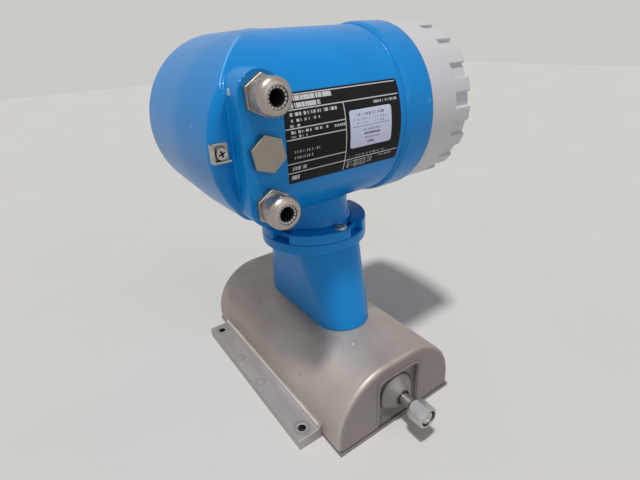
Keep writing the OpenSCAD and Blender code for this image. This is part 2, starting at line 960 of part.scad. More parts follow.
module blind_plug() {
    color(brass) at_gland(0) {
        translate([-14, 0, 0]) rod_x(gland_bore / 2, 15);
        translate([0.8, 0, 0]) rotate([10, 0, 0]) hex_x(gland_corner_r, 3.6);
    }
}

module blind_plug_seal() {
    color(black) at_gland(0) difference() {
        rod_x(gland_af / 2 - 0.6, 0.8);
        translate([-1, 0, 0]) rod_x(gland_bore / 2, 3);
    }
}

// Places a part of the outer ground terminal on the flat behind the pad
module at_terminal() {
    translate([flat_x, pad_y - 24, head_z + 2.5]) children();
}

// The clamp of the ground terminal: a square plate with two upright walls
module ground_clamp() {
    half = 5.6;
    wall = 1.4;
    color(bright) at_terminal() difference() {
        union() {
            translate([0, -half, -half]) cube([2, 2 * half, 2 * half]);
            translate([0, -half, -half]) cube([5.5, wall, 2 * half]);
            translate([0, -half, -half]) cube([5.5, 2 * half, wall]);
        }
        translate([-1, 0, 0]) rod_x(2.1, 8);
    }
}

module ground_screw() {
    color(bright) at_terminal() difference() {
        union() {
            translate([-5, 0, 0]) rod_x(2, 9);
            translate([2, 0, 0]) rod_x(4, 0.8);
            translate([2.8, 0, 0]) rod_x(3.5, 3.2);
        }
        for (a = [0, 90]) rotate([a + 20, 0, 0]) translate([4.8, -2.2, -0.5]) cube([3, 4.4, 1]);
    }
}

// ---------------------------------------------------------------- plates

// A thin plate of height h curved round the barrel, lift above it, with rounded corners
module wrapped_plate(y0, y1, h, lift, t, corner) {
    intersection() {
        difference() {
            drafted_barrel(-lift - t, y0 - 5, y1 + 5);
            drafted_barrel(-lift, y0 - 6, y1 + 6);
        }
        translate([0, (y0 + y1) / 2, head_z + 2.1]) rotate([90, 0, 90])
            linear_extrude(100) rounded_rect(y1 - y0, h, corner);
    }
}

module rounded_rect(w, h, r) {
    translate([-w / 2 + r, -h / 2]) square([w - 2 * r, h]);
    translate([-w / 2, -h / 2 + r]) square([w, h - 2 * r]);
    for (sx = [-1, 1], sy = [-1, 1]) translate([sx * (w / 2 - r), sy * (h / 2 - r)]) circle(r = r);
}

module nameplate() {
    color(black) wrapped_plate(plate_y0, plate_y1, plate_h, glue, plate_t, 2);
}

module sticker() {
    color("#e8e8f0") wrapped_plate(plate_y0 + 50, plate_y1 - 9.6, plate_h - 31.5,
        plate_t + 2 * glue, 0.2, 2);
}

sensor_shell();
base_plate();
mounting_bar_left();
mounting_bar_right();
end_boss_inlet();
end_boss_outlet();
measuring_tube();
tube_block_inlet();
tube_block_outlet();
coil_bracket();
drive_coil();
pickup_coil_inlet();
pickup_coil_outlet();
drive_magnet();
pickup_magnet_inlet();
pickup_magnet_outlet();
temperature_sensor();
connection_gland_inlet();
connection_gland_outlet();
union_nut_inlet();
union_nut_outlet();
neck_adapter();
neck_pedestal();
pedestal_screws();
neck_seal();
bayonet_ring();
securing_screws();
head_housing();
display_cover();
window_glass();
window_clamp_ring();
display_cover_seal();
display_module();
display_screen();
electronics_cage();
amplifier_board();
io_board();
power_board();
terminal_block();
terminal_screws();
connection_cover();
connection_cover_seal();
gland_body_upper();
gland_body_lower();
gland_seal_upper();
gland_seal_lower();
gland_claw_upper();
gland_claw_lower();
gland_cap_upper();
gland_cap_lower();
blind_plug();
blind_plug_seal();
ground_clamp();
ground_screw();
nameplate();
sticker();
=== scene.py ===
import json
import math

import bpy
from mathutils import Matrix, Vector

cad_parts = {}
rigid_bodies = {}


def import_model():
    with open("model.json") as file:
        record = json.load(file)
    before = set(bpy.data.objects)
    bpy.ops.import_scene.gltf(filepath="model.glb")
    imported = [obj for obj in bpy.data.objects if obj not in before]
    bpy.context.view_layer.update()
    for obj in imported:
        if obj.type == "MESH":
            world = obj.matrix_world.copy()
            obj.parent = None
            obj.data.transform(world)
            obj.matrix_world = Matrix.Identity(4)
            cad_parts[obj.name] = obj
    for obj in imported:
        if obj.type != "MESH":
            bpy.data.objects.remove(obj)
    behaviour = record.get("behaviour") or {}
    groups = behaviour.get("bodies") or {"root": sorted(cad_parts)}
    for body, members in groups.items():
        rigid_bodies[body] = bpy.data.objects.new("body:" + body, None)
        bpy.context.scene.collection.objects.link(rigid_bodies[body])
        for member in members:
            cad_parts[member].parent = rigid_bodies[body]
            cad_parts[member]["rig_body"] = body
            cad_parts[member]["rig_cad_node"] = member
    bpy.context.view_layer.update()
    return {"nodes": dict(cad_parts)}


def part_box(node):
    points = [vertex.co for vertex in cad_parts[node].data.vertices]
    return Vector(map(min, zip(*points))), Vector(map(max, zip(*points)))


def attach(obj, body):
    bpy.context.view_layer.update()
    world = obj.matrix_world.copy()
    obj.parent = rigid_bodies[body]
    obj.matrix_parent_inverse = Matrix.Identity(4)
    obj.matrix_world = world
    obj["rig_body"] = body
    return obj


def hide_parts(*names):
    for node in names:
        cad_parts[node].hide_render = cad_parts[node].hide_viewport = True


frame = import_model()
nodes = frame["nodes"]
bpy.ops.object.select_all(action="DESELECT")

# ---- Room: a pale bench top and a pale wall, a small lamp nearly overhead and a broad weak one at the side.
# The bench keeps the shadow of the meter; metal and glass reflect the same pale wall that is seen.
studio = bpy.context.scene
studio.view_settings.view_transform = "Standard"
BENCH_SIZE = 6.0
bpy.ops.mesh.primitive_plane_add(size=BENCH_SIZE, location=(0, 0, 0))
bench = bpy.context.object
bench.name = "bench_top"


class Term:
    """A value inside one recipe: a number, colour or vector that operators work on."""

    def __init__(self, recipe, socket):
        self.recipe = recipe
        self.socket = socket

    def beside(self, output):
        """Another output of the same node."""
        return Term(self.recipe, self.socket.node.outputs[output])

    def math(self, operation, *others):
        inputs = dict(enumerate((self, *others)))
        return self.recipe.node("ShaderNodeMath", {"operation": operation}, inputs)

    def __add__(self, other):
        return self.math("ADD", other)

    def __sub__(self, other):
        return self.math("SUBTRACT", other)

    def __rsub__(self, other):
        return self.recipe.node("ShaderNodeMath", {"operation": "SUBTRACT"}, {0: other, 1: self})

    def __mul__(self, other):
        return self.math("MULTIPLY", other)

    def __truediv__(self, other):
        return self.math("DIVIDE", other)

    def __abs__(self):
        return self.math("ABSOLUTE")

    __radd__ = __add__
    __rmul__ = __mul__

    def between(self, low, high):
        """Rises smoothly from 0 at low to 1 at high, or falls where low is the larger."""
        ends = {"Value": self, "From Min": min(low, high), "From Max": max(low, high)}
        rise = self.recipe.node("ShaderNodeMapRange", {"interpolation_type": "SMOOTHSTEP"}, ends)
        return rise if low <= high else 1 - rise

    def within(self, low, high):
        """1 from low to high and 0 outside, with a sharp edge."""
        return self.math("COMPARE", (low + high) / 2, (high - low) / 2)

    def either(self, other):
        return self.math("MAXIMUM", other)

    def both(self, other):
        return self.math("MINIMUM", other)


class Recipe:
    """The nodes of one finish or of the room's air; each new one comes from node()."""

    def __init__(self, tree):
        self.tree = tree

    def node(self, kind, settings=None, inputs=None, output=0):
        made = self.tree.nodes.new(kind)
        for key, value in (settings or {}).items():
            setattr(made, key, value)
        for name, value in (inputs or {}).items():
            self.feed(made.inputs[name], value)
        return Term(self, made.outputs[output])

    def feed(self, socket, value):
        """Links a term to a socket, or sets the socket to a number, a vector or a colour without alpha."""
        if isinstance(value, Term):
            self.tree.links.new(value.socket, socket)
        elif socket.type == "RGBA":
            socket.default_value = (*value, 1)
        else:
            socket.default_value = value


class Finish(Recipe):
    """One procedural material; its place is the object's own coordinates in metres."""

    def __init__(self, name, **skin):
        self.material = bpy.data.materials.new(name)
        self.material.use_nodes = True
        super().__init__(self.material.node_tree)
        self.skin = self.tree.nodes["Principled BSDF"]
        for socket, value in skin.items():
            self.feed(self.skin.inputs[socket.replace("_", " ")], value)
        self.place = self.node("ShaderNodeTexCoord", output="Object")
        self.x = self.node("ShaderNodeSeparateXYZ", {}, {"Vector": self.place}, "X")
        self.y, self.z = self.x.beside("Y"), self.x.beside("Z")

    def vector(self, operation, *parts, output=0):
        return self.node("ShaderNodeVectorMath", {"operation": operation}, dict(enumerate(parts)), output)

    def mix(self, mask, plain, other):
        """The plain colour where the mask is 0, the other where it is 1."""
        return self.node("ShaderNodeMix", {"data_type": "RGBA"}, {0: mask, 6: plain, 7: other}, 2)

    def noise(self, scale, detail=3, roughness=0.5, stretch=(1, 1, 1)):
        """Uneven grain, about 1 / scale metres coarse; a stretch below 1 draws it out along that axis."""
        where = self.vector("MULTIPLY", self.place, stretch)
        grain_inputs = {"Vector": where, "Scale": scale, "Detail": detail, "Roughness": roughness}
        return self.node("ShaderNodeTexNoise", {}, grain_inputs)

    def specks(self, scale, size, share, seed=0.0):
        """Small round spots, about 1 / scale metres apart, of which only a share is there."""
        where = self.vector("ADD", self.place, (seed, seed, seed))
        from_centre = self.node("ShaderNodeTexVoronoi", {}, {"Vector": where, "Scale": scale}, "Distance")
        chance = self.node("ShaderNodeSeparateColor", {}, {"Color": from_centre.beside("Color")}, "Red")
        return from_centre.between(size, size * 0.6) * chance.between(share + 0.01, share)

    def spot(self, point, size, ragged, scale=900):
        """1 inside a round spot, its edge made ragged by a share of its size."""
        away = self.vector("DISTANCE", self.place, point, output="Value")
        uneven = (self.noise(scale, detail=2) - 0.5) * (2 * ragged * size)
        return (away + uneven).between(size, size * 0.75)

    def scratch(self, start, end, width):
        """1 along the straight line between two points, thinner towards its ends."""
        run = Vector(end) - Vector(start)
        away = self.vector("SUBTRACT", self.place, start)
        along = self.vector("DOT_PRODUCT", away, tuple(run.normalized()), output="Value") / run.length
        share = along.both(1.0).either(0.0)
        share_each_way = self.node("ShaderNodeCombineXYZ", {}, {0: share, 1: share, 2: share})
        foot = self.vector("MULTIPLY_ADD", share_each_way, tuple(run), start)
        off = self.vector("DISTANCE", self.place, foot, output="Value") / width
        return (off + abs(share - 0.5)).between(1.1, 0.6)

    def relief(self, height, distance, strength):
        """A fine roughness of the surface, distance metres high where height is 1."""
        return self.node("ShaderNodeBump", {}, {"Height": height, "Distance": distance, "Strength": strength})

    def wear(self, colour, roughness, normal=None, coat=None):
        """Sets what changes over the surface."""
        parts = {"Base Color": colour, "Roughness": roughness, "Normal": normal, "Coat Weight": coat}
        for socket, value in parts.items():
            if value is not None:
                self.feed(self.skin.inputs[socket], value)

    def on(self, *pieces):
        """Gives the finish to new pieces, or to CAD solids by their names."""
        for piece in pieces:
            piece = nodes[piece] if isinstance(piece, str) else piece
            piece.data.materials.clear()
            piece.data.materials.append(self.material)


bench_paint = Finish("bench_paint")
bench_grain = bench_paint.noise(6, detail=4)
bench_paint.wear(
    bench_paint.mix(bench_grain, (0.53, 0.515, 0.50), (0.58, 0.565, 0.55)),
    0.65 + bench_grain * 0.1,
)
bench_paint.on(bench)

room = bpy.data.worlds.new("room")
studio.world = room
room.use_nodes = True
air = Recipe(room.node_tree)
daylight = air.tree.nodes["Background"]
air.feed(daylight.inputs["Color"], (0.90, 0.95, 1.0))
air.feed(daylight.inputs["Strength"], 0.30)
wall = air.node("ShaderNodeBackground", {}, {"Color": (0.60, 0.59, 0.575)})
seen = air.node("ShaderNodeLightPath", output="Is Camera Ray")
shows_wall = seen.either(seen.beside("Is Glossy Ray")).either(seen.beside("Is Transmission Ray"))
around = air.node("ShaderNodeMixShader", {}, {0: shows_wall, 1: Term(air, daylight.outputs[0]), 2: wall})
air.feed(air.tree.nodes["World Output"].inputs["Surface"], around)


def soft_lamp(name, come_from, spread, strength, colour):
    """A lamp far off in the direction come_from; a wide spread, in degrees, makes its shadows soft."""
    bpy.ops.object.light_add(type="SUN")
    lamp = bpy.context.object
    lamp.name = name
    lamp.data.angle = math.radians(spread)
    lamp.data.energy = strength
    lamp.data.color = colour
    lamp.rotation_euler = Vector(come_from).to_track_quat("Z", "Y").to_euler()


soft_lamp("lamp_above", (0.15, -0.22, 1.0), spread=6, strength=2.6, colour=(1.0, 0.985, 0.96))
soft_lamp("lamp_side", (1.0, 0.2, 0.55), spread=50, strength=0.42, colour=(0.92, 0.96, 1.0))

# ---- Camera: looks down on the outlet and the gland side from close by, a little tilted.
# Its yaw is from the x axis, its pitch below the level, and its place is in metres.
YAW, PITCH, ROLL = math.radians(146.0), math.radians(26.45), math.radians(-2.92)
EYE, LENS = (0.2935, -0.1919, 0.3002), 23.9
look = Vector((math.cos(PITCH) * math.cos(YAW), math.cos(PITCH) * math.sin(YAW), -math.sin(PITCH)))
level = Vector((math.sin(YAW), -math.cos(YAW), 0))
upright = level.cross(look)
right = math.cos(ROLL) * level + math.sin(ROLL) * upright
up = -math.sin(ROLL) * level + math.cos(ROLL) * upright
bpy.ops.object.camera_add(location=EYE)
camera = bpy.context.object
camera.rotation_euler = Matrix((right, up, -look)).transposed().to_euler()
camera.data.lens = LENS
camera.data.clip_start = 0.01
studio.camera = camera

# ---- Sensor hood: one deep-drawn stainless sheet, pickled dull and brownish, with a pressed panel in each end.
# The panels have soft edges and run out at their foot; the press leaves a low rounded ridge round each.
# Welding has left a few bright spatters and dark pits.
MM = 0.001
NEAR = 0.1 * MM
EDGE_ANGLE = math.radians(28)


def pick(piece):
    """Selects one piece and nothing else."""
    bpy.ops.object.select_all(action="DESELECT")
    piece.select_set(True)
    bpy.context.view_layer.objects.active = piece


def choose_points(mesh, wanted):
    """Selects, in edit mode, just the points whose place is wanted."""
    bpy.ops.mesh.select_mode(type="VERT")
    bpy.ops.mesh.select_all(action="DESELECT")
    bpy.ops.object.mode_set(mode="OBJECT")
    for point in mesh.vertices:
        point.select = wanted(point.co)
    bpy.ops.object.mode_set(mode="EDIT")


def choose_edges(mesh, wanted):
    """Selects, in edit mode, just the edges whose two ends are wanted."""
    bpy.ops.mesh.select_mode(type="EDGE")
    bpy.ops.mesh.select_all(action="DESELECT")
    bpy.ops.object.mode_set(mode="OBJECT")
    for edge in mesh.edges:
        edge.select = wanted(*(mesh.vertices[v].co for v in edge.vertices))
    bpy.ops.object.mode_set(mode="EDIT")


def smooth(piece, angle=32):
    """Smooth shading that follows the large faces, with creases kept."""
    pick(piece)
    bpy.ops.object.shade_smooth_by_angle(angle=math.radians(angle))
    weighting = piece.modifiers.new("normals", "WEIGHTED_NORMAL")
    weighting.keep_sharp = True
    bpy.ops.object.modifier_apply(modifier="normals")


def softened(node, name, edge, rounds=2, reshape=None):
    """A copy of a solid with its edges rounded off; it rides with the solid and is shown in its place.

    reshape, where given, works on the copy's mesh in edit mode before its edges are rounded."""
    pick(nodes[node])
    bpy.ops.object.duplicate()
    piece = bpy.context.object
    piece.name = name
    del piece["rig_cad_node"]
    bpy.ops.object.mode_set(mode="EDIT")
    bpy.ops.mesh.select_all(action="SELECT")
    bpy.ops.mesh.remove_doubles(threshold=0.02 * MM)
    bpy.ops.mesh.dissolve_limited(angle_limit=math.radians(0.05))
    bpy.ops.mesh.select_all(action="DESELECT")
    if reshape:
        reshape(piece.data)
    bpy.ops.object.mode_set(mode="OBJECT")
    rounding = piece.modifiers.new("edges", "BEVEL")
    rounding.width = edge
    rounding.segments = rounds
    rounding.limit_method = "ANGLE"
    rounding.angle_limit = EDGE_ANGLE
    rounding.use_clamp_overlap = False
    bpy.ops.object.modifier_apply(modifier="edges")
    smooth(piece)
    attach(piece, nodes[node]["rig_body"])
    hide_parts(node)
    return piece


hood_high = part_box("sensor_shell")[1]
HOOD_END = hood_high.x
PANEL_HALF, PANEL_TOP, PANEL_DEPTH, PANEL_CORNER = 21 * MM, 50 * MM, 5 * MM, 5 * MM
PANEL_FOOT, PANEL_LIP, PANEL_ROUND = 10 * MM, 0.8 * MM, 1.8 * MM
BOSS_HEIGHT, BOSS_CLEAR = 29 * MM, 19.5 * MM


def on_panel_outline(place):
    """Whether a point is on the outline of a pressed panel, at its mouth or its floor, above its foot."""
    inset = HOOD_END - abs(place.x)
    at_mouth_or_floor = min(abs(inset), abs(inset - PANEL_DEPTH)) < NEAR
    on_panel = abs(place.y) < PANEL_HALF + NEAR and PANEL_FOOT - NEAR < place.z < PANEL_TOP + NEAR
    clear_of_boss = math.hypot(place.y, place.z - BOSS_HEIGHT) > BOSS_CLEAR
    return at_mouth_or_floor and on_panel and clear_of_boss


def soften_panels(mesh):
    """Runs the pressed panels out in a slope at their foot and rounds their outline."""
    bpy.ops.mesh.select_all(action="SELECT")
    bpy.ops.mesh.bisect(plane_co=(0, 0, PANEL_FOOT), plane_no=(0, 0, 1))
    for side in (-1, 1):
        floor_x = side * (HOOD_END - PANEL_DEPTH)
        choose_points(mesh, lambda place: abs(place.x - floor_x) < NEAR
                      and abs(place.y) < PANEL_HALF + NEAR and place.z < PANEL_FOOT - NEAR)
        bpy.ops.transform.translate(value=(side * (PANEL_DEPTH - PANEL_LIP), 0, 0))
    bpy.ops.mesh.select_mode(type="EDGE")
    bpy.ops.mesh.select_all(action="DESELECT")
    bpy.ops.mesh.edges_select_sharp(sharpness=EDGE_ANGLE)
    bpy.ops.object.mode_set(mode="OBJECT")
    for edge in mesh.edges:
        edge.select = edge.select and all(on_panel_outline(mesh.vertices[v].co) for v in edge.vertices)
    bpy.ops.object.mode_set(mode="EDIT")
    bpy.ops.mesh.bevel(offset=PANEL_ROUND, segments=3, affect="EDGES", clamp_overlap=False)
    bpy.ops.mesh.select_all(action="DESELECT")


drawn_hood = softened("sensor_shell", "drawn_hood", 0.9 * MM, reshape=soften_panels)
BEAD_OUT, BEAD_RADIUS, BEAD_FOOT, BEAD_FLATTEN = 1.5 * MM, 1.1 * MM, 7 * MM, 0.6


def panel_bead(name, side):
    """The low rounded ridge that the press leaves round a panel, open at its foot."""
    bpy.ops.object.select_all(action="DESELECT")
    half, top = PANEL_HALF + BEAD_OUT, PANEL_TOP + BEAD_OUT
    middle = (side * HOOD_END, 0, (top + BEAD_FOOT) / 2)
    bpy.ops.mesh.primitive_plane_add(size=2, location=middle, rotation=(0, math.pi / 2, 0))
    bead = bpy.context.object
    bead.name = name
    bead.scale = ((top - BEAD_FOOT) / 2, half, 1)
    bpy.ops.object.transform_apply(location=True, rotation=True, scale=True)
    bpy.ops.object.mode_set(mode="EDIT")
    bpy.ops.mesh.delete(type="ONLY_FACE")
    choose_edges(bead.data, lambda start, end: max(start.z, end.z) < top - MM)
    bpy.ops.mesh.delete(type="EDGE")
    choose_edges(bead.data, lambda start, end: min(start.z, end.z) > top - MM)
    bpy.ops.mesh.bevel(offset=PANEL_CORNER + BEAD_OUT, segments=6, affect="VERTICES")
    bpy.ops.object.mode_set(mode="OBJECT")
    bpy.ops.object.convert(target="CURVE")
    bead.data.bevel_depth = BEAD_RADIUS
    bead.data.bevel_resolution = 3
    bead.data.use_fill_caps = True
    bpy.ops.object.convert(target="MESH")
    bpy.ops.object.mode_set(mode="EDIT")
    bpy.ops.mesh.select_all(action="SELECT")
    bpy.ops.mesh.remove_doubles(threshold=0.01 * MM)
    bpy.ops.mesh.normals_make_consistent(inside=False)
    bpy.ops.transform.resize(value=(BEAD_FLATTEN, 1, 1), center_override=(side * HOOD_END, 0, 0))
    bpy.ops.object.mode_set(mode="OBJECT")
    smooth(bead, angle=50)
    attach(bead, "base")
    return bead


panel_beads = [panel_bead("panel_bead_inlet", -1), panel_bead("panel_bead_outlet", 1)]
hood = Finish("pickled_stainless", Metallic=0.5)
cloud = hood.noise(11, detail=4, roughness=0.55)
smear = hood.noise(34, stretch=(0.4, 1, 1))
hood_tone = hood.mix(cloud.between(0.3, 0.7), (0.36, 0.305, 0.27), (0.48, 0.43, 0.40))
hood_tone = hood.mix(smear.between(0.45, 0.75) * 0.4, hood_tone, (0.50, 0.455, 0.44))
pits = hood.specks(210, size=0.2, share=0.035)
hood_tone = hood.mix(pits * 0.75, hood_tone, (0.07, 0.055, 0.045))
LARGE_SPATTER = (0.0758, -0.0177, 0.064)
spatter = hood.specks(120, size=0.085, share=0.05, seed=3.1)
spatter = spatter.either(hood.spot(LARGE_SPATTER, 1.1 * MM, ragged=0.2))
hood_tone = hood.mix(spatter * 0.8, hood_tone, (0.8, 0.8, 0.85))

# Painted shade: the end faces are painted darker than the drawn sheet, the panels too, and most of all the foot
# of each panel.
end_shade = abs(hood.x).between(HOOD_END - 2 * MM, HOOD_END - 0.5 * MM)
in_panel = abs(hood.x).between(HOOD_END - 6 * MM, HOOD_END - 5.5 * MM)
in_panel = in_panel * abs(hood.y).between(PANEL_HALF + MM, PANEL_HALF)
in_panel = in_panel * hood.z.between(PANEL_TOP + MM, PANEL_TOP)
foot_shade = in_panel * hood.z.between(PANEL_FOOT + 3 * MM, PANEL_FOOT - 2 * MM)
hood_tone = hood.mix(end_shade.either(in_panel) * 0.65, hood_tone, (0.17, 0.15, 0.148))
hood_tone = hood.mix(foot_shade * 0.6, hood_tone, (0.10, 0.088, 0.085))

# A dark line of painted shade runs in the groove along the outside of the ridge.
past_side = (abs(hood.y) - (PANEL_HALF - PANEL_CORNER)).either(0.0)
past_top = (hood.z - (PANEL_TOP - PANEL_CORNER)).either(0.0)
past_outline = (past_side * past_side + past_top * past_top).math("SQRT") - PANEL_CORNER
groove = past_outline.between(2.6 * MM, 3.2 * MM) * past_outline.between(4.2 * MM, 3.5 * MM)
groove = groove * end_shade * hood.z.between(4 * MM, 12 * MM)
hood_tone = hood.mix(groove * 0.35, hood_tone, (0.07, 0.06, 0.06))
hood_grain = hood.noise(1500, detail=2, roughness=0.6)
hood.wear(
    hood_tone,
    0.42 + cloud * 0.1 + smear * 0.06,
    hood.relief(hood_grain * 0.2 + smear * 0.5 - pits + spatter * 1.5, 0.1 * MM, 0.5),
)
hood.on(drawn_hood, *panel_beads)

# ---- Base plate, end bosses and inner steelwork: cut from stainless sheet and bar and welded on.
# The plate stands a millimetre proud of the hood at both ends, with a bright cut edge.
floor_plate = softened("base_plate", "floor_plate", 0.4 * MM)
bosses = [softened("end_boss_" + end, "boss_" + end, 0.4 * MM) for end in ("inlet", "outlet")]
steel = Finish("cut_stainless", Metallic=1.0)
steel_haze = steel.noise(40, detail=4, roughness=0.6)
dots = steel.specks(330, size=0.22, share=0.05, seed=1.7)
steel_tone = steel.mix(steel_haze, (0.215, 0.195, 0.19), (0.33, 0.305, 0.295))
steel_tone = steel.mix(dots * 0.7, steel_tone, (0.85, 0.85, 0.9))
steel.wear(
    steel_tone,
    0.36 + steel_haze * 0.15,
    steel.relief(steel.noise(1100, detail=2) + dots, 0.06 * MM, 0.5),
)
steel.on(floor_plate, *bosses, "neck_adapter", "tube_block_inlet", "tube_block_outlet", "coil_bracket")

# ---- Mounting bars: flat stainless bar, sawn and drilled, with a bead of weld along the hood.
# Bolts and washers have left a ring round each hole and arcs on the top face.
foot_bars = [
    softened("mounting_bar_" + side, "foot_bar_" + side, 0.6 * MM) for side in ("left", "right")
]
bar_low, bar_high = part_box("mounting_bar_left")
BAR_HOLE, HOLE_RADIUS, WASHER_RADIUS = (0.080, 0.075, 0), 3.3 * MM, 6.2 * MM
ARC_CENTRES = ((-0.0603, -0.0747, 0.010), (-0.0269, -0.0791, 0.010), (0.0145, -0.0786, 0.010))
ARC_RADIUS = 4.2 * MM
bar_steel = Finish("bar_stainless", Metallic=1.0)
streaks = bar_steel.noise(30, detail=4, roughness=0.6, stretch=(0.25, 1, 1))
bar_tone = bar_steel.mix(streaks.between(0.3, 0.7), (0.38, 0.355, 0.35), (0.49, 0.465, 0.46))
over_bars = bar_steel.node("ShaderNodeCombineXYZ", {}, {0: abs(bar_steel.x), 1: abs(bar_steel.y), 2: 0.0})
from_hole = bar_steel.vector("DISTANCE", over_bars, BAR_HOLE, output="Value")
blot = (bar_steel.noise(190) - 0.5) * (5.5 * MM)
ring = abs(from_hole + blot * 0.4 - WASHER_RADIUS).between(1.1 * MM, 0.3 * MM)
bar_tone = bar_steel.mix(ring * 0.5, bar_tone, (0.24, 0.22, 0.215))
for centre in ARC_CENTRES:
    from_centre = bar_steel.vector("DISTANCE", bar_steel.place, centre, output="Value") + blot
    arc = abs(from_centre - ARC_RADIUS).between(1.9 * MM, 0.3 * MM)
    bar_tone = bar_steel.mix(arc * 0.3, bar_tone, (0.25, 0.23, 0.225))
# The inside of each hole is painted near black, as painted shade in the hole.
in_hole = from_hole.between(HOLE_RADIUS + 0.02 * MM, HOLE_RADIUS - 0.08 * MM)
bar_tone = bar_steel.mix(in_hole, bar_tone, (0.04, 0.038, 0.036))
bar_steel.wear(
    bar_tone,
    0.50 + streaks * 0.12,
    bar_steel.relief(bar_steel.noise(900, detail=2, stretch=(0.2, 1, 1)), 0.05 * MM, 0.6),
)
bar_steel.on(*foot_bars)
WELD_RADIUS, WELD_INSET, WELD_HEIGHT, WELD_PITCH = 2.3 * MM, 1.5 * MM, 11.5 * MM, 1.6 * MM


def weld_bead(name, start, end, seed):
    """A bead of weld from start to end, built up of rings of slightly unequal size."""
    run = Vector(end) - Vector(start)
    bpy.ops.object.select_all(action="DESELECT")
    bpy.ops.mesh.primitive_cylinder_add(
        vertices=14,
        radius=WELD_RADIUS,
        depth=run.length,
        location=(Vector(start) + Vector(end)) / 2,
        rotation=run.to_track_quat("Z", "Y").to_euler(),
    )
    bead = bpy.context.object
    bead.name = name
    bpy.ops.object.transform_apply(location=True, rotation=True, scale=True)
    bpy.ops.object.mode_set(mode="EDIT")
    choose_edges(bead.data, lambda a, b: (a - b).length > run.length / 2)
    bpy.ops.mesh.subdivide(number_cuts=int(run.length / WELD_PITCH))
    bpy.ops.mesh.select_all(action="SELECT")
    bpy.ops.transform.vertex_random(offset=0.05 * WELD_RADIUS, seed=seed)
    bpy.ops.object.mode_set(mode="OBJECT")
    smooth(bead, angle=60)
    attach(bead, "base")
    return bead


welds = []
for seed, side in ((1, -1), (2, 1)):
    weld_y = side * (hood_high.y + WELD_INSET)
    weld_start = (bar_low.x + WELD_INSET, weld_y, WELD_HEIGHT)
    weld_end = (bar_high.x - WELD_INSET, weld_y, WELD_HEIGHT)
    welds.append(weld_bead(f"weld_bar_{seed}", weld_start, weld_end, seed))
weld_metal = Finish("weld_metal", Metallic=1.0)
scale_tint = weld_metal.noise(70)
weld_metal.wear(
    weld_metal.mix(scale_tint, (0.58, 0.54, 0.50), (0.74, 0.71, 0.68)),
    0.42 + scale_tint * 0.15,
    weld_metal.relief(weld_metal.noise(900, detail=2), 0.06 * MM, 0.6),
)
weld_metal.on(*welds)

# ---- Couplings: turned stub with collar and nose, and the hexagon union nut drawn over it.
# Bright stainless bar, turned and milled, with fine tool marks round the axis.
# The tube, the magnets, the temperature sensor and the plain screws have the same finish.
coupling = Finish("turned_stainless", Metallic=1.0)
sheen = coupling.noise(90)
coupling.wear(
    coupling.mix(sheen, (0.48, 0.47, 0.46), (0.62, 0.61, 0.60)),
    0.30 + sheen * 0.12,
    coupling.relief(coupling.noise(900, detail=2, stretch=(4, 1, 1)), 0.04 * MM, 0.5),
)
coupling.on("union_nut_inlet", "union_nut_outlet", "connection_gland_inlet", "connection_gland_outlet")
coupling.on("measuring_tube", "drive_magnet", "pickup_magnet_inlet", "pickup_magnet_outlet")
coupling.on("temperature_sensor", "pedestal_screws", "terminal_screws")

# ---- Neck, bayonet ring and head: aluminium castings in gloss blue stoved paint.
# The paint has a faint orange peel; handling has chipped it to the pale primer at the pad and scratched it.
CREST_HEIGHT, CREST_RUN = 302.1 * MM, 2.5 * MM


def slope_crest(mesh):
    """Turns the low step between drum and barrel, at the top of the parting plane, into a slope."""
    choose_points(mesh, lambda place: abs(place.x) < 0.01 * MM and place.z > CREST_HEIGHT and place.y < 0)
    bpy.ops.transform.translate(value=(-CREST_RUN, 0, 0))
    bpy.ops.mesh.select_all(action="DESELECT")


neck = softened("neck_pedestal", "neck_casting", 1.0 * MM, rounds=3)
locking_ring = softened("bayonet_ring", "locking_ring", 1.2 * MM, rounds=3)
head = softened("head_housing", "head_casting", 0.8 * MM, rounds=3, reshape=slope_crest)
blue = Finish("blue_stoved_paint", Specular_IOR_Level=0.2, Coat_Roughness=0.06)
shade = blue.noise(9)
peel = blue.noise(480, detail=2)
scuff = blue.noise(40, detail=4, roughness=0.65).between(0.62, 0.8)
paint = blue.mix(shade.between(0.3, 0.7), (0.001, 0.195, 0.53), (0.002, 0.228, 0.61))
paint = blue.mix(scuff * 0.08, paint, (0.10, 0.34, 0.66))

# The chips lie at the edge of the pad beside the upper gland, and a few on the drum.
# Each small one stands with its radius in millimetres.
chips = blue.spot((0.0604, -0.0913, 0.2709), 2.4 * MM, ragged=1.0, scale=500)
for place, size in (
        ((0.0564, -0.0913, 0.2748), 0.7), ((0.0603, -0.0913, 0.2782), 0.6), ((0.071, -0.0907, 0.2757), 0.6),
        ((0.071, -0.0881, 0.2774), 0.6), ((0.071, -0.0855, 0.2792), 0.5), ((0.0293, -0.1052, 0.2500), 0.6),
        ((0.0107, -0.0838, 0.2856), 0.5), ((0.0055, -0.0783, 0.2898), 0.5)):
    chips = chips.either(blue.spot(place, size * MM, ragged=0.7))
paint = blue.mix(chips * 0.75, paint, (0.48, 0.60, 0.66))
rubs = blue.scratch((0.0139, -0.1025, 0.2588), (0.0108, -0.1049, 0.2512), 0.35 * MM)
rubs = rubs.either(blue.scratch((0.0682, 0.0665, 0.2460), (0.0672, 0.0660, 0.2505), 0.3 * MM))
rubs = rubs.either(blue.scratch((0.0661, 0.0657, 0.2553), (0.0655, 0.0650, 0.2600), 0.3 * MM))
paint = blue.mix(rubs * 0.6, paint, (0.45, 0.60, 0.75))
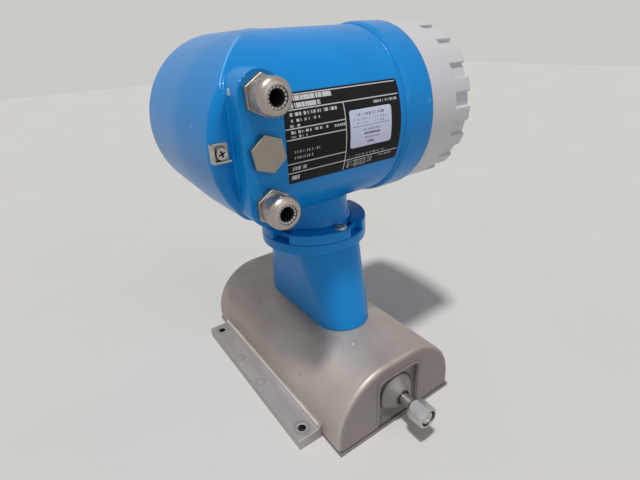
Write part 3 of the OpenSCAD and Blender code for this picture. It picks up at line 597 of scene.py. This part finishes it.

# Drum and barrel, each cast with a slight draft, meet in a crease; a paler line along it is a painted highlight
# on its rounded edge.
HEAD_RADIUS, HEAD_Z, DRUM_Y = 67 * MM, 235.4 * MM, -40.5 * MM
DRUM_DRAFT, BARREL_DRAFT, BARREL_LESS = 0.027, 0.006, 0.28 * MM
over_axis = blue.z - HEAD_Z
past_drum_axis = blue.y - DRUM_Y
from_drum = (past_drum_axis * past_drum_axis + over_axis * over_axis).math("SQRT")
from_barrel = (blue.x * blue.x + over_axis * over_axis).math("SQRT")
past_drum = from_drum + blue.x * DRUM_DRAFT - HEAD_RADIUS
past_barrel = from_barrel - blue.y * BARREL_DRAFT - (HEAD_RADIUS - BARREL_LESS)
crease = past_drum.both(past_barrel).between(-0.75 * MM, -0.35 * MM) * blue.x.between(18 * MM, 26 * MM)
crease = crease * past_drum_axis.between(-16 * MM, -22 * MM) * blue.z.between(262 * MM, 274 * MM)
paint = blue.mix(crease * 0.5, paint, (0.16, 0.50, 0.86))

# A fine mould seam runs round the outer side of the drum.
SEAM_X = 2.5 * MM
seam = abs(blue.x - SEAM_X).between(0.6 * MM, 0.15 * MM)
seam = seam * blue.y.between(-60 * MM, -66 * MM) * blue.z.between(175 * MM, 180 * MM)
blue.wear(
    paint,
    0.26 + scuff * 0.15 + shade * 0.06 + chips * 0.4,
    blue.relief(peel * 0.5 + seam * 2.0 - chips * 1.5 - rubs * 0.5, 0.08 * MM, 0.6),
    coat=0.08 - chips * 0.08,
)
blue.on(neck, locking_ring, head)

# ---- Screws of the bayonet ring and the outer ground terminal: turned steel, plated with zinc.
# The terminal is a bent clamp under a cross-head screw; its recess and the gap under its head are painted dark,
# as painted shade.
ring_screws = softened("securing_screws", "ring_screws", 0.25 * MM)
clamp = softened("ground_clamp", "terminal_clamp", 0.25 * MM)
clamp_screw = softened("ground_screw", "terminal_clamp_screw", 0.2 * MM)
zinc = Finish("zinc_steel", Metallic=1.0)
spangle = zinc.noise(300)
screw_low, screw_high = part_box("ground_screw")
screw_axis = (screw_low + screw_high) / 2
off_y, off_z = zinc.y - screw_axis.y, zinc.z - screw_axis.z
from_axis = (off_y * off_y + off_z * off_z).math("SQRT")
on_terminal = zinc.x.between(50 * MM, 51 * MM)
recess = from_axis.between(2.4 * MM, 2.0 * MM)
recess = recess * zinc.x.between(screw_high.x - 0.35 * MM, screw_high.x - 0.7 * MM) * on_terminal
under_head = from_axis.between(5.2 * MM, 4.2 * MM)
under_head = under_head * zinc.x.between(screw_high.x - 1.6 * MM, screw_high.x - 2.2 * MM) * on_terminal
plated = zinc.mix(spangle, (0.30, 0.28, 0.27), (0.58, 0.56, 0.54))
plated = zinc.mix(under_head * 0.7, plated, (0.09, 0.075, 0.065))
plated = zinc.mix(recess, plated, (0.025, 0.022, 0.02))
zinc.wear(plated, 0.25 + spangle * 0.2, zinc.relief(zinc.noise(1200, detail=2), 0.04 * MM, 0.6))
zinc.on(ring_screws, clamp, clamp_screw)

# ---- Covers: light grey painted castings, screwed on the barrel and on the drum.
# Handling leaves small dark scuffs on the grips.
front_cover = softened("display_cover", "display_cover_casting", 1.0 * MM, rounds=3)
rear_cover = softened("connection_cover", "connection_cover_casting", 1.0 * MM, rounds=3)
grey = Finish("light_grey_paint", Specular_IOR_Level=0.35)
cast = grey.noise(12)
dirt = grey.noise(45, detail=5, roughness=0.65).between(0.6, 0.85)
grey_coat = grey.mix(cast, (0.50, 0.485, 0.505), (0.57, 0.555, 0.58))
grey_coat = grey.mix(dirt * 0.3, grey_coat, (0.33, 0.31, 0.31))
grey.wear(grey_coat, 0.38 + dirt * 0.2, grey.relief(grey.noise(600, detail=2), 0.05 * MM, 0.5))
grey.on(front_cover, rear_cover)

# ---- Cable glands and plug: nickel-plated brass, turned from hexagon bar and screwed into the pad.
# The plating has a warm bloom, darker on the plug; pale plastic fingers clamp the cable inside each gland.
LEVELS = ("upper", "lower")
gland_bases = [softened("gland_body_" + k, "gland_base_" + k, 0.35 * MM) for k in LEVELS]
gland_domes = [softened("gland_cap_" + k, "gland_dome_" + k, 0.3 * MM) for k in LEVELS]
plug = softened("blind_plug", "hexagon_plug", 0.45 * MM)
nickel = Finish("nickel_plate", Metallic=1.0)
nickel_bloom = nickel.noise(120, detail=4, roughness=0.6)
plug_low, plug_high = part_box("blind_plug")
on_plug = nickel.z.between(plug_low.z - 2 * MM, plug_low.z)
on_plug = on_plug * nickel.z.between(plug_high.z + 2 * MM, plug_high.z)
plating = nickel.mix(nickel_bloom, (0.36, 0.315, 0.28), (0.51, 0.46, 0.42))
nickel.wear(
    nickel.mix(on_plug * 0.6, plating, (0.23, 0.215, 0.175)),
    0.28 + nickel_bloom * 0.16,
    nickel.relief(nickel.noise(800, detail=2, stretch=(5, 1, 1)), 0.04 * MM, 0.6),
)
nickel.on(*gland_bases, *gland_domes, plug)
nylon = Finish("pale_nylon", Specular_IOR_Level=0.4)
tint = nylon.noise(200, detail=2)
nylon.wear(nylon.mix(tint, (0.42, 0.415, 0.41), (0.56, 0.555, 0.55)), 0.35 + tint * 0.1)
nylon.on("gland_claw_upper", "gland_claw_lower")

# ---- Rubber and black plastic pieces: seals, display module and the clamping ring of the window.
# They are moulded, and matt all over; the seals lie squeezed in their joints.
rubber = Finish("black_rubber")
rubber_bloom = rubber.noise(200)
rubber.wear(
    rubber.mix(rubber_bloom, (0.010, 0.010, 0.011), (0.022, 0.021, 0.021)),
    0.55 + rubber_bloom * 0.2,
    rubber.relief(rubber.noise(900, detail=2), 0.05 * MM, 0.5),
)
rubber.on("neck_seal", "display_cover_seal", "connection_cover_seal", "gland_seal_upper", "gland_seal_lower")
rubber.on("blind_plug_seal", "display_module", "window_clamp_ring")

# ---- Electronics: green boards and terminal strip, copper coils, an aluminium cage, a screen and a window.
# The boards are woven glass under green lacquer, the coils wound wire, and the cage rolled sheet.
board = Finish("green_board")
weave = board.noise(700, detail=2, stretch=(1, 0.2, 1))
board.wear(board.mix(weave, (0.012, 0.10, 0.04), (0.02, 0.16, 0.065)), 0.35 + weave * 0.1)
board.on("amplifier_board", "io_board", "power_board", "terminal_block")
winding = Finish("copper_winding", Metallic=1.0)
turns = winding.noise(1500, detail=1, stretch=(0.1, 4, 0.1))
winding.wear(winding.mix(turns, (0.42, 0.14, 0.05), (0.6, 0.24, 0.1)), 0.3 + turns * 0.2)
winding.on("drive_coil", "pickup_coil_inlet", "pickup_coil_outlet")
sheet = Finish("aluminium_sheet", Metallic=1.0)
rolled = sheet.noise(300, detail=2, stretch=(0.2, 1, 1))
sheet.wear(sheet.mix(rolled, (0.5, 0.5, 0.51), (0.6, 0.6, 0.61)), 0.35 + rolled * 0.15)
sheet.on("electronics_cage")
screen = Finish("display_screen_glass")
glow = screen.noise(50, detail=2)
screen.wear(screen.mix(glow, (0.30, 0.36, 0.30), (0.34, 0.41, 0.34)), 0.18 + glow * 0.05)
screen.on("display_screen")
pane = Finish("window_glass_clear", Transmission_Weight=1.0, IOR=1.45)
pane_haze = pane.noise(30)
pane.wear(pane.mix(pane_haze, (0.93, 0.97, 0.97), (0.97, 1.0, 1.0)), 0.02 + pane_haze * 0.04)
pane.on("window_glass")

# ---- Nameplate: a thin black anodised plate glued round the barrel, with pale rules and rows of short bars.
# It reads from the glands to the collar; the bars stand for print and say nothing.
plate_low, plate_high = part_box("nameplate")
plate = Finish("black_plate", Specular_IOR_Level=0.15)
dust = plate.noise(70, detail=5, roughness=0.7).between(0.55, 0.8)
plate_tone = plate.mix(dust * 0.2, (0.0075, 0.0068, 0.0085), (0.04, 0.04, 0.05))
plate_across = (plate.y - plate_low.y) / (plate_high.y - plate_low.y)
plate_down = (plate_high.z - plate.z) / (plate_high.z - plate_low.z)


def block(across, down, begin, end, top, bottom):
    """1 inside a rectangle, in shares of the length from the left and of the height from the top."""
    return across.within(begin, end) * down.within(top, bottom)


def bar_rows(finish, across, down, rows):
    """1 on rows of short upright bars of uneven width.

    Each row says where it begins and ends, its top and bottom, how fine its bars are and how full it is."""
    whole = None
    for begin, end, top, bottom, fineness, fill in rows:
        bars = finish.noise(fineness, detail=1, roughness=0.6, stretch=(0, 1, 0.02))
        row = block(across, down, begin, end, top, bottom) * bars.between(1 - fill - 0.04, 1 - fill + 0.04)
        whole = row if whole is None else whole.either(row)
    return whole


RULE_HALF = 0.006
marks = block(plate_across, plate_down, 0.02, 0.98, 0.017, 0.028)
for begin, end, height in (
        (0, 0.985, 0.17), (0, 0.48, 0.36), (0, 0.48, 0.475), (0, 0.48, 0.745), (0, 0.48, 0.86),
        (0.48, 0.985, 0.86)):
    rule = block(plate_across, plate_down, begin, end, height - RULE_HALF, height + RULE_HALF)
    marks = marks.either(rule)
marks = marks.either(block(plate_across, plate_down, 0.477, 0.484, 0.17, 0.985))
marks = marks.either(bar_rows(plate, plate_across, plate_down, (
    (0.06, 0.40, 0.035, 0.085, 900, 0.62),
    (0.06, 0.30, 0.105, 0.155, 900, 0.62),
    (0.05, 0.42, 0.20, 0.235, 1300, 0.5),
    (0.05, 0.28, 0.265, 0.295, 1300, 0.45),
    (0.04, 0.12, 0.32, 0.345, 1300, 0.45),
    (0.04, 0.33, 0.385, 0.415, 1300, 0.5),
    (0.38, 0.475, 0.395, 0.425, 1300, 0.5),
    (0.04, 0.16, 0.435, 0.46, 1300, 0.45),
    (0.04, 0.26, 0.60, 0.63, 1300, 0.45),
    (0.04, 0.20, 0.665, 0.695, 1300, 0.45),
    (0.04, 0.15, 0.785, 0.83, 1100, 0.5),
    (0.04, 0.10, 0.895, 0.95, 900, 0.6),
    (0.74, 0.97, 0.205, 0.235, 1300, 0.5),
    (0.52, 0.86, 0.815, 0.835, 1500, 0.45),
    (0.50, 0.74, 0.885, 0.90, 1600, 0.5),
    (0.50, 0.74, 0.91, 0.925, 1600, 0.45),
    (0.50, 0.74, 0.935, 0.95, 1600, 0.5),
    (0.50, 0.70, 0.96, 0.975, 1600, 0.45),
    (0.80, 0.93, 0.885, 0.905, 1500, 0.5),
)))
plate_tone = plate.mix(marks * 0.95, plate_tone, (0.56, 0.56, 0.58))
plate.wear(plate_tone, 0.42 + dust * 0.15 - marks * 0.05)
plate.on("nameplate")

# ---- Sticker: a white paper label, stuck on the right half of the plate.
# It carries a few rows of small grey bars, which say nothing either.
tag_low, tag_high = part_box("sticker")
paper = Finish("white_sticker", Specular_IOR_Level=0.3)
rumple = paper.noise(50, detail=4)
tag_across = (paper.y - tag_low.y) / (tag_high.y - tag_low.y)
tag_down = (tag_high.z - paper.z) / (tag_high.z - tag_low.z)
page = paper.mix(rumple, (0.53, 0.555, 0.72), (0.62, 0.645, 0.82))
grey_bars = bar_rows(paper, tag_across, tag_down, (
    (0.15, 0.82, 0.10, 0.17, 1500, 0.5),
    (0.08, 0.90, 0.23, 0.28, 1900, 0.45),
    (0.16, 0.80, 0.33, 0.38, 1900, 0.45),
    (0.06, 0.94, 0.43, 0.445, 60, 0.9),
    (0.30, 0.72, 0.52, 0.57, 1700, 0.5),
    (0.32, 0.70, 0.62, 0.68, 1500, 0.6),
    (0.30, 0.72, 0.74, 0.79, 1700, 0.5),
    (0.40, 0.56, 0.85, 0.91, 1500, 0.6),
))
paper.wear(paper.mix(grey_bars * 0.85, page, (0.07, 0.07, 0.12)), 0.45 + rumple * 0.1)
paper.on("sticker")
